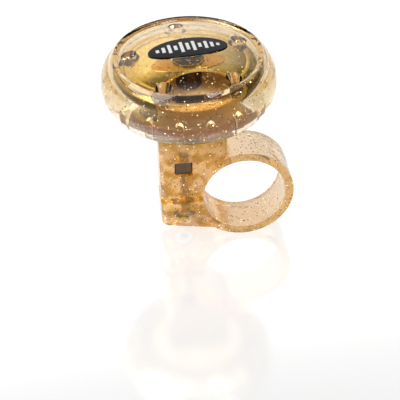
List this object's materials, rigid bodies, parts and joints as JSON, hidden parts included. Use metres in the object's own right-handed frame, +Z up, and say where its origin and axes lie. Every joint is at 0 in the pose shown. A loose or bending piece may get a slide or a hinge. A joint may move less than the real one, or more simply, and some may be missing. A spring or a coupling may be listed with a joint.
{
  "type": "bicycle bell",
  "caption": "Rotary handlebar bell: a clear twist cap over a gong with an inner striker, on a neck with a split clamp ring",
  "frame": {"origin": "centre of the handlebar clamp's bore", "axes": "+Y along the handlebar, +Z up the neck, parallel to the cap's twist axis, +X away from the neck"},
  "size_m": [0.0498, 0.0452, 0.0583],
  "materials": {
    "clear_amber": "clear moulded amber plastic with fine glitter, glossy",
    "gold_plate": "polished gold-plated steel",
    "dark_bronze": "dark bronze, satin",
    "steel": "zinc-plated steel",
    "dark_nut": "dark blued steel",
    "brass": "turned brass",
    "black_badge": "glossy black under a clear coat",
    "nylon": "natural nylon",
    "rubber": "soft rubber"
  },
  "bodies": {
    "base": {"clamp_bracket": "clear_amber", "base_plate": "clear_amber", "clamp_screw": "steel", "clamp_washer": "steel", "clamp_nut": "dark_nut", "hub_post": "dark_bronze", "thrust_washer": "nylon", "wave_washer": "steel", "cap_washer": "steel", "cap_screw": "steel", "striker_pin": "steel", "pin_clip": "steel", "spring_peg": "steel", "striker_spring": "steel"},
    "cap": {"twist_cap": "clear_amber", "badge_plate": "black_badge", "gong": "gold_plate", "gong_washer": "rubber", "bearing_bush": "brass"},
    "striker": {"striker_arm": "brass", "striker_weight": "brass", "striker_rivet": "steel"}
  },
  "joints": [
    {"name": "cap_twist", "type": "hinge", "parent": "base", "child": "cap", "pos_m": [-0.0137, 0, 0.0386], "axis": [0, 0, 1], "continuous": true},
    {"name": "striker_swing", "type": "hinge", "parent": "base", "child": "striker", "pos_m": [-0.01535, 0.00936, 0.034], "axis": [0, 0, 1], "range_deg": [-13, 13], "stiffness_Nm_per_rad": 0.003, "deforming": ["striker_spring"]}
  ]
}
